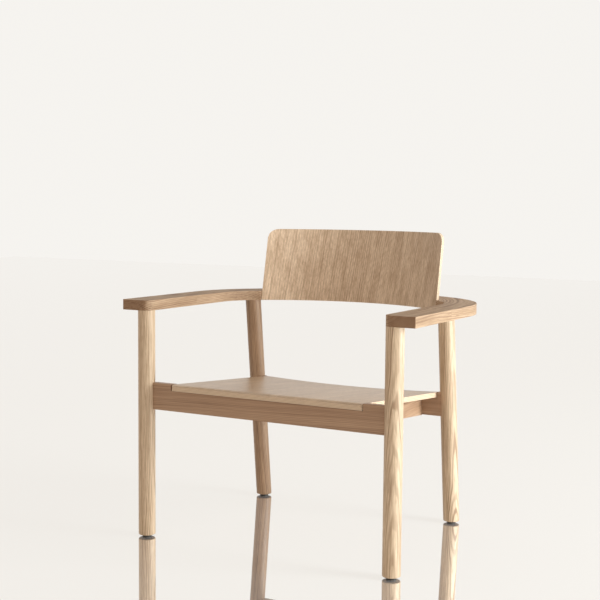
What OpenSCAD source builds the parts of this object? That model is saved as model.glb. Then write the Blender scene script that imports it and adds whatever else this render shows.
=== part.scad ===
// Low wooden armchair.
// Four round legs carry a flat U-shaped board that is both arms and back rail. A moulded backrest
// is let into the inside of the U, and a moulded seat lies on a frame of four rails.
// X points to the sitter's left, Y to the back and Z up. The origin is on the floor, in the middle.

/* [Arm board] */
// Width over both arms
board_width = 744; // [720:2:770]
// Depth from the front of the arms to the back of the board
board_depth = 600; // [590:2:612]
// Thickness of the board
board_t = 24; // [22:1:28]
// Width of each arm
arm_w = 74.5; // [70:0.5:80]
// Height of the board's underside over the front legs
board_z = 540.5; // [520:0.5:560]
// Fall of the board towards the back, in degrees
board_fall = 0.46; // [0:0.02:1]
// Outer radius of the two back corners
corner_outer_r = 245; // [235:1:250]
// Inner radius of the two back corners
corner_inner_r = 119; // [114:1:124]
// Distance of the outer corners' centres behind the front legs
corner_outer_y = 300; // [296:1:304]
// Distance of the joint between arm and back behind the front legs
arm_joint_y = 182; // [160:2:220]
// Radius of the outer front corner of each arm
arm_tip_r = 3; // [1:1:8]

/* [Legs] */
// Diameter of the legs
leg_d = 40; // [36:1:42]
// Distance of the rear legs' axes from the middle
rear_leg_x = 270.3; // [268:0.1:272]
// Distance of the rear feet behind the front feet
rear_foot_y = 475.3; // [465:0.1:485]
// Rake of the rear legs, in degrees
rear_rake = 6.8; // [6:0.1:7.5]
// Diameter of the round tenon on top of each leg
tenon_d = 24; // [20:1:26]
// Length of that tenon
tenon_l = 16; // [12:1:18]

/* [Seat] */
// Width of the seat panel
seat_width = 492; // [480:2:496]
// Thickness of the seat panel
seat_t = 12; // [10:1:14]
// Height of the seat's top face over the front legs
seat_z = 369.5; // [350:0.5:390]
// Fall of the seat towards the back, in degrees
seat_slope = 4.8; // [4:0.1:5.5]
// Reach of the seat in front of the front legs' axes
seat_lead = 8.7; // [6:0.1:12]
// Reach of the seat behind the front legs' axes, along its slope
seat_reach = 443.5; // [436:0.5:448]
// Outer radius of the curl along the front edge
seat_curl_r = 36; // [30:1:44]
// Angle of that curl, in degrees
seat_curl_angle = 27.6; // [20:0.2:30]
// Depth of the dish at the back edge
seat_dish = 6.4; // [3:0.2:9]
// Radius of the seat's front corners, seen from above
seat_front_r = 14; // [6:1:20]
// Radius of the seat's back corners, seen from above
seat_back_r = 5; // [2:1:10]

/* [Backrest] */
// Width of the backrest
back_width = 488.6; // [470:0.2:490]
// Thickness of the backrest
back_t = 12; // [10:1:13]
// Height of its lower edge
back_low_z = 537.4; // [534:0.2:540]
// Height of its upper edge
back_high_z = 722.3; // [700:0.1:745]
// Radius of its front face, square to its own axis
back_r = 416; // [410:1:425]
// Distance of the front face behind the front legs, in the middle of the lower edge
back_low_y = 488.6; // [487:0.1:490]
// Lean of the backrest, in degrees
back_lean = 11.4; // [10.5:0.1:12]
// Radius of its upper corners
back_corner_r = 22; // [10:1:40]

/* [Rails] */
// Thickness of the front and rear rails
rail_t = 24; // [20:1:26]
// Height of the front rail's lower edge
front_rail_z = 307.4; // [300:0.2:315]
// Distance of the front rail's face in front of the front legs' axes
front_rail_lead = 3; // [0:0.5:6]
// Distance of the rear rail's lower edge from the floor, along the rear legs
rear_rail_z = 278.8; // [272:0.2:286]
// Distance of the rear rail's face in front of the rear legs' axes
rear_rail_lead = 16; // [14:0.5:17]
// Distance of the side rails' outer faces from the middle
side_rail_x = 206.5; // [190:0.5:220]
// Thickness of the side rails
side_rail_t = 22; // [18:1:26]
// Height of the side rails
side_rail_h = 48; // [40:1:52]
// Rise of the front and rear rails' ends above the seat's top face
rail_rise = 1; // [0:0.5:3]

/* [Fastenings] */
// Diameter of the dowels
dowel_d = 10; // [8:1:12]
// Diameter of the screws' shanks
screw_d = 6; // [5:0.5:7]
// Diameter of the screws' heads
screw_head_d = 10; // [9:0.5:10.5]
// Diameter of the foot glides
glide_d = 22; // [18:1:30]
// Height of the foot glides
glide_h = 5; // [3:0.5:8]

/* [Hidden] */
$fn = 96;
arc_fn = 240;       // facets of the board's inner corners
large_fn = 720;     // facets of the wide curves
far = 900;          // reach of the blocks that only trim
past = 10;          // how far a cut runs past the piece it cuts
slack = 0.05;       // clearance all round a piece in its hole or cope
end_gap = 1;        // space left past the end of a dowel, tenon or nail

// The front legs are flush with the inner edges and the front ends of the arms.
leg_r = leg_d / 2;
outer_half = board_width / 2;
inner_half = outer_half - arm_w;
front_leg_x = inner_half + leg_r;
front_leg_y = leg_r - board_depth / 2;
board_back = board_depth - leg_r;

// The back edge of the board is one arc, tangent to both outer corner arcs.
outer_corner_x = outer_half - corner_outer_r;
corner_reach = board_back - corner_outer_y;
back_edge_r = (pow(outer_corner_x, 2) + pow(corner_reach, 2) - pow(corner_outer_r, 2))
    / (2 * (corner_reach - corner_outer_r));
back_edge_y = board_back - back_edge_r;
back_edge_angle = atan2(corner_outer_y - back_edge_y, outer_corner_x);

// The inner corner arcs touch the rear legs, so these are flush with the inner edge too.
inner_corner_x = inner_half - corner_inner_r;
rear_leg_top_y = rear_foot_y - board_z * tan(rear_rake);
inner_corner_y = rear_leg_top_y
    - sqrt(pow(corner_inner_r + leg_r, 2) - pow(rear_leg_x - inner_corner_x, 2));

// The backrest stands in a pocket that opens through the inner edge of the board.
pocket_half = back_width / 2 + 1;
pocket_y = inner_corner_y + sqrt(pow(corner_inner_r, 2) - pow(pocket_half - inner_corner_x, 2));
back_axis_y = back_low_y - back_r / cos(back_lean);

// The seat sags across its width, by nothing at the front and most at the back.
seat_half = seat_width / 2;
seat_gap = 0.7;
curl_y = seat_curl_r * sin(seat_curl_angle) - seat_lead;
curl_room = 3;
lip_clear = 0.3;    // how far the outline runs past the curled edge, which it would only touch
dish_y = 20;
dish_steps = 6;
dish_rim = 20;
dish_x = [
    -seat_half - dish_rim,
    for (i = [-dish_steps:dish_steps]) i / dish_steps * seat_half,
    seat_half + dish_rim
];
dish_row_y = [
    curl_y,
    for (i = [0:dish_steps]) dish_y + i / dish_steps * (seat_reach - dish_y),
    seat_reach + dish_rim
];

// Half lengths of the rails, up to the legs they are coped to.
front_rail_half = inner_half + 5.5;
rear_rail_half = rear_leg_x - sqrt(pow(leg_r, 2) - pow(rear_rail_lead, 2));
rear_rail_h = 80;   // before its upper edge is trimmed to the seat
front_rail_back = rail_t - front_rail_lead;

// Dowels: half lengths and heights. Those in the legs are centred one inset from the leg's axis.
rail_dowel_half = 21;
leg_dowel_inset = 19;
front_dowel_z = [324, 347];
rear_dowel_z = [295, 318];
side_dowel_half = 20;
side_dowel_x = side_rail_x - side_rail_t / 2;
side_front_dowel_y = 25;
side_front_dowel_z = [322, 341];
side_rear_dowel_y = 420;
side_rear_dowel_z = [288, 308];
arm_dowel_half = 30;
arm_dowel_x = outer_half - arm_w / 2;
arm_dowel_shift = 18;

// Screws. Those of the seat are measured down from its top face.
screw_head_h = 6;
screw_hole_d = screw_d + 0.6;
counterbore_d = screw_head_d + 1;
insert_d = 9;
insert_h = 8;
seat_screw_y = [120, 330];
seat_screw_under = seat_t + 26;
screw_tip_gap = 1;

// Screws of the backrest, measured from the middle of its curve at the height of its lower edge.
back_screw_angles = [-17, 0, 17];
back_middle_y = back_low_y - back_r;
back_insert_r = back_r + 4;
back_screw_under = back_r + 46;
plug_l = 14;
plug_r = board_back - back_middle_y - plug_l;

nail_d = 2.4;
nail_l = 20;
nail_head_d = 6;
nail_head_h = 1;
glide_recess_d = 8;
glide_recess_h = 2;

oak = [0.80, 0.66, 0.49];
oak_light = [0.86, 0.74, 0.58];
ply = [0.78, 0.63, 0.47];
beech = [0.87, 0.75, 0.60];
zinc = [0.72, 0.73, 0.75];
black = [0.12, 0.12, 0.12];

// ---- Frames that the pieces are drawn in -------------------------------------------------------

// Y and Z from the front feet.
module floor_frame() {
    translate([0, front_leg_y, 0]) children();
}

// Z along the rear legs, from the floor.
module rear_leg_frame() {
    floor_frame() translate([0, rear_foot_y, 0]) rotate([rear_rake, 0, 0]) children();
}

// Y along the fall of the board, from the front legs' axes, and Z from its underside.
module board_frame() {
    floor_frame() translate([0, 0, board_z]) rotate([-board_fall, 0, 0]) children();
}

// Y along the fall of the seat, from the front legs' axes, and Z from its top face.
module seat_frame() {
    floor_frame() translate([0, 0, seat_z]) rotate([-seat_slope, 0, 0]) children();
}

// Z along the axis of the backrest's curve, from the height of its lower edge.
module backrest_frame() {
    floor_frame() translate([0, back_axis_y, back_low_z]) rotate([-back_lean, 0, 0]) children();
}

// Y out along each screw of the backrest, at half the thickness of the board.
module at_backrest_screws() {
    board_frame()
        for (angle = back_screw_angles)
            translate([0, back_middle_y, board_t / 2]) rotate([0, 0, angle]) children();
}

// Z up each screw of the seat, from the seat's top face.
module at_seat_screws() {
    seat_frame()
        for (side = [-1, 1], y = seat_screw_y)
            translate([side * side_dowel_x, y, 0]) children();
}

// The middle of each glide, on the floor.
module at_feet() {
    floor_frame()
        for (side = [-1, 1]) {
            translate([side * front_leg_x, 0, 0]) children();
            translate([side * rear_leg_x, rear_foot_y - glide_h * tan(rear_rake), 0]) children();
        }
}

// ---- Shapes that several pieces share ----------------------------------------------------------

// A round bar along X, from one place to another.
module bar_x(r, from, to) {
    translate([from, 0, 0]) rotate([0, 90, 0]) cylinder(r = r, h = to - from);
}

// A round bar along Y, from one place to another.
module bar_y(r, from, to) {
    translate([0, from, 0]) rotate([-90, 0, 0]) cylinder(r = r, h = to - from);
}

// Everything above the underside of the board.
module above_board() {
    board_frame() translate([-far / 2, -leg_d, 0]) cube([far, far, far / 8]);
}

// Everything below the tops of the glides.
module below_legs() {
    translate([-far / 2, -far / 2, glide_h - far / 8]) cube([far, far, far / 8]);
}

// Bars and tenons of the legs, or the copes and holes that take them when they are grown.
module front_leg_bars(grow) {
    floor_frame()
        for (side = [-1, 1])
            translate([side * front_leg_x, 0, 0]) cylinder(r = leg_r + grow, h = board_z + past);
}

module rear_leg_bars(grow) {
    rear_leg_frame()
        for (side = [-1, 1])
            translate([side * rear_leg_x, 0, -past])
                cylinder(r = leg_r + grow, h = board_z + 3 * past);
}

module front_tenons(grow, gap) {
    floor_frame()
        for (side = [-1, 1])
            translate([side * front_leg_x, 0, board_z - past])
                cylinder(r = tenon_d / 2 + grow, h = tenon_l + past + gap);
}

module rear_tenons(grow, gap) {
    foot = (board_z - rear_leg_top_y * tan(board_fall)) / cos(rear_rake);
    rear_leg_frame()
        for (side = [-1, 1])
            translate([side * rear_leg_x, 0, foot - past])
                cylinder(r = tenon_d / 2 + grow, h = tenon_l + past + gap);
}

// Dowels, or the holes that take them when they are grown in radius and lengthened at each end.
module front_dowels(grow, gap) {
    floor_frame()
        for (side = [-1, 1], z = front_dowel_z)
            translate([side * (front_leg_x - leg_dowel_inset), rail_t / 2 - front_rail_lead, z])
                bar_x(dowel_d / 2 + grow, -rail_dowel_half - gap, rail_dowel_half + gap);
}

module rear_dowels(grow, gap) {
    rear_leg_frame()
        for (side = [-1, 1], z = rear_dowel_z)
            translate([side * (rear_leg_x - leg_dowel_inset), rail_t / 2 - rear_rail_lead, z])
                bar_x(dowel_d / 2 + grow, -rail_dowel_half - gap, rail_dowel_half + gap);
}

module side_dowels(y, heights, grow, gap) {
    floor_frame()
        for (side = [-1, 1], z = heights)
            translate([side * side_dowel_x, y, z])
                bar_y(dowel_d / 2 + grow, -side_dowel_half - gap, side_dowel_half + gap);
}

module side_front_dowels(grow, gap) {
    side_dowels(side_front_dowel_y, side_front_dowel_z, grow, gap);
}

module side_rear_dowels(grow, gap) {
    side_dowels(side_rear_dowel_y, side_rear_dowel_z, grow, gap);
}

module arm_dowels(grow, gap) {
    board_frame()
        for (side = [-1, 1], shift = [-arm_dowel_shift, arm_dowel_shift])
            translate([side * arm_dowel_x + shift, arm_joint_y, board_t / 2])
                bar_y(dowel_d / 2 + grow, -arm_dowel_half - gap, arm_dowel_half + gap);
}

// ---- Legs --------------------------------------------------------------------------------------

// One leg of a pair: the first child is the pair of bars and the second the pair of tenons.
module leg(side) {
    color(oak)
        difference() {
            intersection() {
                union() {
                    difference() {
                        children(0);
                        above_board();
                        below_legs();
                    }
                    children(1);
                }
                translate([side > 0 ? 0 : -far, -far / 2, 0]) cube(far);
            }
            front_dowels(slack, end_gap);
            rear_dowels(slack, end_gap);
            at_feet() cylinder(d = nail_d + 2 * slack, h = glide_h + nail_l + end_gap);
        }
}

module front_leg(side) {
    leg(side) {
        front_leg_bars(0);
        front_tenons(0, 0);
    }
}

module rear_leg(side) {
    leg(side) {
        rear_leg_bars(0);
        rear_tenons(0, 0);
    }
}

// ---- Board: two arms and the back --------------------------------------------------------------

// One arm from above, from its front end to the joint. The inner front corner follows the leg.
module arm_outline() {
    tip_x = outer_half - arm_tip_r;
    tip_y = arm_tip_r - leg_r;
    translate([inner_half, 0]) square([arm_w, arm_joint_y]);
    translate([front_leg_x, -leg_r]) square([tip_x - front_leg_x, leg_r]);
    translate([tip_x, tip_y]) square([arm_tip_r, -tip_y]);
    translate([tip_x, tip_y]) circle(arm_tip_r);
    translate([front_leg_x, 0]) circle(leg_r);
}

// The back of the board from above, from joint to joint, with the rear edge as its outer arc.
module back_outline() {
    ray = 2 * back_edge_r;
    difference() {
        union() {
            translate([-outer_half, arm_joint_y])
                square([2 * outer_half, corner_outer_y - arm_joint_y]);
            for (side = [-1, 1])
                translate([side * outer_corner_x, corner_outer_y])
                    circle(corner_outer_r, $fn = large_fn);
            translate([0, back_edge_y])
                intersection() {
                    circle(back_edge_r, $fn = large_fn);
                    polygon([
                        [0, 0],
                        [ray * cos(back_edge_angle), ray * sin(back_edge_angle)],
                        [-ray * cos(back_edge_angle), ray * sin(back_edge_angle)]
                    ]);
                }
        }
        translate([-far / 2, arm_joint_y - far]) square(far);
        translate([-inner_half, 0]) square([2 * inner_half, inner_corner_y]);
        for (side = [-1, 1])
            translate([side * inner_corner_x, inner_corner_y])
                circle(corner_inner_r, $fn = arc_fn);
        translate([-pocket_half, 0]) square([2 * pocket_half, pocket_y]);
    }
}

// The pocket for the backrest. Its rear wall is the backrest's rear face.
module backrest_pocket() {
    intersection() {
        backrest_frame() cylinder(r = back_r + back_t, h = back_r / 2, $fn = large_fn);
        board_frame()
            translate([-pocket_half, inner_corner_y, -past])
                cube([2 * pocket_half, far, board_t + 2 * past]);
    }
}

module arm(side) {
    color(oak)
        difference() {
            board_frame()
                mirror([side > 0 ? 0 : 1, 0, 0]) linear_extrude(height = board_t) arm_outline();
            front_tenons(slack, end_gap);
            arm_dowels(slack, end_gap);
        }
}

module back_board() {
    color(oak)
        difference() {
            board_frame() linear_extrude(height = board_t) back_outline();
            backrest_pocket();
            rear_tenons(slack, end_gap);
            arm_dowels(slack, end_gap);
            at_backrest_screws() {
                bar_y(screw_hole_d / 2, back_r, back_screw_under + past);
                bar_y(counterbore_d / 2, back_screw_under, board_back);
            }
        }
}

// ---- Seat --------------------------------------------------------------------------------------

// Depth of the dish at one place of the seat.
function dip(x, y) =
    seat_dish * max(0, 1 - pow(x / seat_half, 2)) * max(0, (y - dish_y) / (seat_reach - dish_y));

// A block h high behind the curl. Its underside is the seat's, and its top has the same dish.
module dished_block(h) {
    columns = len(dish_x);
    rows = len(dish_row_y);
    layer = columns * rows;
    points = [
        for (z = [0, h], y = dish_row_y, x = dish_x) [x, y, z - seat_t - dip(x, y)]
    ];
    low_faces = [
        for (j = [0:rows - 2], i = [0:columns - 2])
            let (a = j * columns + i, b = a + columns)
                each [[a, a + 1, b + 1], [a, b + 1, b]]
    ];
    high_faces = [for (f = low_faces) [for (k = [2, 1, 0]) f[k] + layer]];
    side_faces = [
        for (j = [0:rows - 2], i = [0, columns - 1])
            let (a = j * columns + i, b = a + columns, q = [a, b, b + layer, a + layer])
                i == 0 ? q : [q[3], q[2], q[1], q[0]]
    ];
    end_faces = [
        for (i = [0:columns - 2], j = [0, rows - 1])
            let (a = j * columns + i, q = [a + 1, a, a + layer, a + 1 + layer])
                j == 0 ? q : [q[3], q[2], q[1], q[0]]
    ];
    polyhedron(points, concat(low_faces, high_faces, side_faces, end_faces), convexity = 4);
}

// The curled front edge, cut square to the seat's width: X is to the back and Y up.
module curl_slice() {
    ray = 2 * seat_curl_r;
    translate([curl_y, -seat_curl_r])
        intersection() {
            difference() {
                circle(seat_curl_r);
                circle(seat_curl_r - seat_t);
            }
            polygon([[0, 0], [0, ray], [-ray * tan(seat_curl_angle), ray]]);
        }
}

// The seat from above.
module seat_outline() {
    front_x = seat_half - seat_front_r;
    back_x = seat_half - seat_back_r;
    front_y = seat_front_r - seat_lead - lip_clear;
    back_y = seat_reach - seat_back_r;
    translate([-seat_half, front_y]) square([seat_width, back_y - front_y]);
    translate([-front_x, front_y - seat_front_r]) square([2 * front_x, seat_reach / 2]);
    translate([-back_x, seat_reach / 2]) square([2 * back_x, seat_reach / 2]);
    for (side = [-1, 1]) {
        translate([side * front_x, front_y]) circle(seat_front_r);
        translate([side * back_x, back_y]) circle(seat_back_r);
    }
}

module seat() {
    color(ply)
        difference() {
            seat_frame()
                intersection() {
                    union() {
                        dished_block(seat_t);
                        rotate([90, 0, 90])
                            translate([0, 0, -seat_half - dish_rim])
                                linear_extrude(height = seat_width + 2 * dish_rim) curl_slice();
                    }
                    translate([0, 0, -far / 8]) linear_extrude(height = far / 4) seat_outline();
                }
            at_seat_screws()
                translate([0, 0, -seat_t - past]) cylinder(d = insert_d, h = insert_h + past);
        }
}

// Everything above the underside of the seat, which is what the rails leave free for it.
module seat_room() {
    half = seat_half + seat_gap;
    seat_frame()
        intersection() {
            translate([-half, -far / 2, -far / 8]) cube([2 * half, far + far / 2, far / 4]);
            union() {
                translate([-half - 1, -far / 2, -seat_t - curl_room])
                    cube([2 * half + 2, far / 2 + curl_y + end_gap, far / 8]);
                dished_block(far / 8);
            }
        }
}

// Everything above the ends of the front and rear rails.
module above_rails() {
    seat_frame() translate([-far / 2, -far / 8, rail_rise]) cube([far, far, far / 8]);
}

// ---- Rails -------------------------------------------------------------------------------------

module front_rail() {
    color(oak_light)
        difference() {
            floor_frame()
                translate([-front_rail_half, -front_rail_lead, front_rail_z])
                    cube([2 * front_rail_half, rail_t, seat_z + past - front_rail_z]);
            above_rails();
            seat_room();
            front_leg_bars(slack);
            front_dowels(slack, end_gap);
            side_front_dowels(slack, end_gap);
        }
}

module rear_rail() {
    color(oak_light)
        difference() {
            rear_leg_frame()
                translate([-rear_rail_half, -rear_rail_lead, rear_rail_z])
                    cube([2 * rear_rail_half, rail_t, rear_rail_h]);
            above_rails();
            seat_room();
            rear_leg_bars(slack);
            rear_dowels(slack, end_gap);
            side_rear_dowels(slack, end_gap);
        }
}

module side_rail(side) {
    x = side > 0 ? side_rail_x - side_rail_t : -side_rail_x;
    color(oak_light)
        difference() {
            seat_frame()
                translate([x, 0, -seat_t - side_rail_h])
                    cube([side_rail_t, seat_reach, side_rail_h]);
            seat_room();
            floor_frame() translate([-far / 2, front_rail_back - far, 0]) cube(far);
            rear_leg_frame() translate([-far / 2, -rear_rail_lead, 0]) cube(far);
            side_front_dowels(slack, end_gap);
            side_rear_dowels(slack, end_gap);
            at_seat_screws() {
                translate([0, 0, -far / 8]) cylinder(d = counterbore_d, h = far / 8 - seat_screw_under);
                translate([0, 0, -seat_screw_under - past]) cylinder(d = screw_hole_d, h = far / 8);
            }
        }
}

// ---- Backrest ----------------------------------------------------------------------------------

// The backrest from the front.
module backrest_outline() {
    half = back_width / 2;
    corner_x = half - back_corner_r;
    corner_z = back_high_z - back_corner_r;
    translate([-half, back_low_z]) square([2 * half, corner_z - back_low_z]);
    translate([-corner_x, back_low_z]) square([2 * corner_x, back_high_z - back_low_z]);
    for (side = [-1, 1])
        translate([side * corner_x, corner_z]) circle(back_corner_r);
}

module backrest() {
    color(ply)
        difference() {
            intersection() {
                backrest_frame()
                    difference() {
                        cylinder(r = back_r + back_t, h = back_r, $fn = large_fn);
                        translate([0, 0, -past])
                            cylinder(r = back_r, h = back_r + 2 * past, $fn = large_fn);
                    }
                floor_frame() translate([0, far, 0]) rotate([90, 0, 0])
                    linear_extrude(height = far - back_axis_y) backrest_outline();
            }
            at_backrest_screws() bar_y(insert_d / 2, back_insert_r, back_screw_under);
        }
}

// ---- Fastenings --------------------------------------------------------------------------------

module front_rail_dowels() {
    color(beech) front_dowels(0, 0);
}

module rear_rail_dowels() {
    color(beech) rear_dowels(0, 0);
}

module side_rail_front_dowels() {
    color(beech) side_front_dowels(0, 0);
}

module side_rail_rear_dowels() {
    color(beech) side_rear_dowels(0, 0);
}

module arm_joint_dowels() {
    color(beech) arm_dowels(0, 0);
}

module seat_screws() {
    shank = seat_screw_under - seat_t + insert_h - screw_tip_gap;
    color(zinc)
        at_seat_screws()
            translate([0, 0, -seat_screw_under]) {
                cylinder(d = screw_d, h = shank);
                translate([0, 0, -screw_head_h]) cylinder(d = screw_head_d, h = screw_head_h);
            }
}

module seat_inserts() {
    color(zinc)
        at_seat_screws()
            translate([0, 0, -seat_t])
                difference() {
                    cylinder(d = insert_d, h = insert_h);
                    translate([0, 0, -past])
                        cylinder(d = screw_d + 2 * slack, h = insert_h + 2 * past);
                }
}

module backrest_screws() {
    color(zinc)
        at_backrest_screws() {
            bar_y(screw_d / 2, back_insert_r + screw_tip_gap, back_screw_under);
            bar_y(screw_head_d / 2, back_screw_under, back_screw_under + screw_head_h);
        }
}

module backrest_inserts() {
    color(zinc)
        at_backrest_screws()
            difference() {
                bar_y(insert_d / 2, back_insert_r, back_insert_r + insert_h);
                bar_y(screw_d / 2 + slack, back_r, back_screw_under);
            }
}

module screw_plugs() {
    color(oak_light)
        intersection() {
            at_backrest_screws() bar_y(counterbore_d / 2, plug_r, board_back);
            board_frame() linear_extrude(height = board_t) back_outline();
        }
}

module foot_glides() {
    color(black)
        at_feet()
            difference() {
                cylinder(d = glide_d, h = glide_h);
                translate([0, 0, -past]) cylinder(d = nail_d + 2 * slack, h = glide_h + 2 * past);
                translate([0, 0, -past]) cylinder(d = glide_recess_d, h = past + glide_recess_h);
            }
}

module glide_nails() {
    color(zinc)
        at_feet() {
            translate([0, 0, glide_recess_h - nail_head_h]) cylinder(d = nail_head_d, h = nail_head_h);
            translate([0, 0, glide_recess_h])
                cylinder(d = nail_d, h = glide_h - glide_recess_h + nail_l);
        }
}

front_leg(1);  // left_front_leg
front_leg(-1);  // right_front_leg
rear_leg(1);  // left_rear_leg
rear_leg(-1);  // right_rear_leg
arm(1);  // left_arm
arm(-1);  // right_arm
back_board();
front_rail();
rear_rail();
side_rail(1);  // left_side_rail
side_rail(-1);  // right_side_rail
seat();
backrest();
front_rail_dowels();
rear_rail_dowels();
side_rail_front_dowels();
side_rail_rear_dowels();
arm_joint_dowels();
seat_screws();
seat_inserts();
backrest_screws();
backrest_inserts();
screw_plugs();
foot_glides();
glide_nails();
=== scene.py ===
"""Low wooden armchair: the visual model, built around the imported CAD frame.

Round oak legs carry a flat U-shaped oak board. A moulded plywood backrest stands inside the U, and a
moulded plywood seat lies on four oak rails. All sizes are in metres, in the frame of the CAD model.
"""

import logging
import math
from dataclasses import dataclass, replace
from enum import Enum

import bmesh
import bpy
import numpy as np
from mathutils import Matrix, Vector

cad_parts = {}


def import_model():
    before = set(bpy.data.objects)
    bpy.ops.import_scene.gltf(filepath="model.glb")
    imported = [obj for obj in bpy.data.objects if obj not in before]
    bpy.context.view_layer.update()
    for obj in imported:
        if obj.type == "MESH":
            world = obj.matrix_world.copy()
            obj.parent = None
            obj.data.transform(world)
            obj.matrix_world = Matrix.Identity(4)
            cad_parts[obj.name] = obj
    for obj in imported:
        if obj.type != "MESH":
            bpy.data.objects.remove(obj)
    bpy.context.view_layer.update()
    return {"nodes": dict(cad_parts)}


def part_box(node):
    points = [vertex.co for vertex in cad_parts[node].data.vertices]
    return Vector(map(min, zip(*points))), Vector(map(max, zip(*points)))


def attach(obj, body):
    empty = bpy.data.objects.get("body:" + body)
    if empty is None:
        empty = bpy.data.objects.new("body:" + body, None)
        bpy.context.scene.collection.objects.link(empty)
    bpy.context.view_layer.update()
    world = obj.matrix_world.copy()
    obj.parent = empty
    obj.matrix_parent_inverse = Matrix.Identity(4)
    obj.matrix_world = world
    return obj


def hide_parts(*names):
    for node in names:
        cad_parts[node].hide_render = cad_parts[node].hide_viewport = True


LOG = logging.getLogger("armchair")
BODY = "root"
WELD = 2e-6  # points nearer than this become one
FLAT = math.radians(0.4)  # faces that bend by less than this become one
END_REACH = 1e-5  # how far from a fitting's end its end face may lie
Colour = tuple[float, float, float]
Pair = tuple[float, float]
Socket = bpy.types.NodeSocket


class Grain(Enum):
    """The way the grain of a piece runs."""

    ALONG_X = "across the chair"
    ALONG_Y = "front to back"
    ALONG_Z = "upright"
    AROUND_BACK = "along the arms and round the bend of the back"


# ---- Shader graphs -----------------------------------------------------------------------------


class Graph:
    """A node tree with short calls for adding linked nodes."""

    seed_step: float = 3.7

    def __init__(self, tree: bpy.types.NodeTree) -> None:
        """Wraps a tree.

        Args:
            tree: The node tree that the calls add to.
        """
        self.tree = tree

    def add(self, kind: str, inputs: dict | None = None, **settings: object) -> bpy.types.Node:
        """Adds one node.

        Args:
            kind: The node's type name.
            inputs: Values or sockets for its inputs, by name or number.
            **settings: Attributes of the node itself.

        Returns:
            The new node.
        """
        node = self.tree.nodes.new(kind)
        for name, value in settings.items():
            setattr(node, name, value)
        for name, value in (inputs or {}).items():
            self.feed(node.inputs[name], value)
        return node

    def feed(self, socket: Socket, value: object) -> None:
        """Links a socket into an input, or sets the input's value.

        Args:
            socket: The input.
            value: The socket or value that it takes.
        """
        if isinstance(value, bpy.types.NodeSocket):
            self.tree.links.new(value, socket)
        else:
            socket.default_value = value

    def math(self, operation: str, first: object, second: object = 0.0, third: object = 0.0) -> Socket:
        """Adds a Math node and returns its output.

        Args:
            operation: The node's operation.
            first: First value or socket.
            second: Second value or socket.
            third: Third value or socket.

        Returns:
            The result's socket.
        """
        values = {0: first, 1: second, 2: third}
        return self.add("ShaderNodeMath", values, operation=operation).outputs[0]

    def blend(self, factor: object, low: object, high: object, mode: str = "MIX") -> Socket:
        """Mixes two colours and returns the result's socket.

        Args:
            factor: How much of the second colour is used.
            low: First colour or socket.
            high: Second colour or socket.
            mode: The blend type.

        Returns:
            The mixed colour's socket.
        """
        node = self.add("ShaderNodeMix", data_type="RGBA", blend_type=mode, clamp_factor=True)
        for number, value in ((0, factor), (6, low), (7, high)):
            self.feed(node.inputs[number], value)
        return node.outputs[2]

    def noise(self, vector: Socket, scale: float, detail: float = 2.0) -> Socket:
        """Adds a Noise Texture and returns the socket of its value, from 0 to 1."""
        inputs = {"Vector": vector, "Scale": scale, "Detail": detail}
        return self.add("ShaderNodeTexNoise", inputs).outputs[0]

    def grain_noise(
        self, place: tuple[Socket, Socket, Socket], scale: Pair, seed: float, detail: float = 1.0
    ) -> Socket:
        """Adds a noise that is drawn out along the grain.

        Args:
            place: Two places across the grain and one along it.
            scale: Scale across the grain and along it.
            seed: Moves the pattern along the grain.
            detail: The texture's detail.

        Returns:
            The socket of the noise, from 0 to 1.
        """
        a, b, along = place
        across, lengthwise = scale
        scaled = (self.math("MULTIPLY", a, across), self.math("MULTIPLY", b, across))
        last = self.math("MULTIPLY_ADD", along, lengthwise, seed * self.seed_step)
        stretched = self.add("ShaderNodeCombineXYZ", {0: scaled[0], 1: scaled[1], 2: last}).outputs[0]
        return self.noise(stretched, 1.0, detail)

    def window(self, value: object, low: float, high: float) -> Socket:
        """Rises smoothly from 0 at low to 1 at high.

        Args:
            value: The value or socket that is mapped.
            low: Where the rise starts.
            high: Where it ends; below low, the result falls instead.

        Returns:
            The mapped value's socket.
        """
        first, last = (low, high) if low < high else (high, low)
        ends = (0.0, 1.0) if low < high else (1.0, 0.0)
        values = {0: value, 1: first, 2: last, 3: ends[0], 4: ends[1]}
        return self.add("ShaderNodeMapRange", values, interpolation_type="SMOOTHSTEP").outputs[0]


def rgba(colour: Colour) -> tuple[float, float, float, float]:
    """Adds an opaque alpha to a colour."""
    return (*colour, 1.0)


# ---- Finishes ----------------------------------------------------------------------------------


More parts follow.
